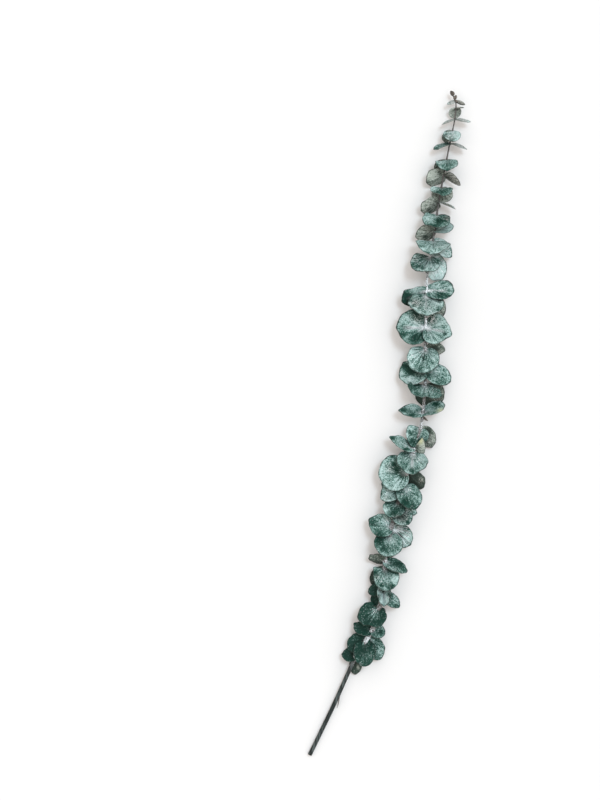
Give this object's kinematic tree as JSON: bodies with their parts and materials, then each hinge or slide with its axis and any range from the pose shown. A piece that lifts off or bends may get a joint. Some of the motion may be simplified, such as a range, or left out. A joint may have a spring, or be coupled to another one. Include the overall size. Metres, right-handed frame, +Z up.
{
  "type": "eucalyptus branch",
  "caption": "Cut, gently bent eucalyptus stem lying flat, with round silvery-green leaves in opposite pairs, a small bud at its tip and a bare lower end.",
  "frame": {"origin": "on the surface the branch lies on, under the middle of its outline", "axes": "+Z up from the surface, +Y towards the bud at the tip, +X to the right when the branch is seen from above with its tip away from the viewer"},
  "size_m": [0.1504, 0.6166, 0.0328],
  "materials": {
    "leaf": "matt, waxy silver bloom over deep green, olive-grey undersides",
    "stem": "matt bark, mauve-brown with a whitish bloom at the leaf pairs"
  },
  "bodies": {
    "root": {"leafy_stem": "leaf"}
  },
  "joints": []
}
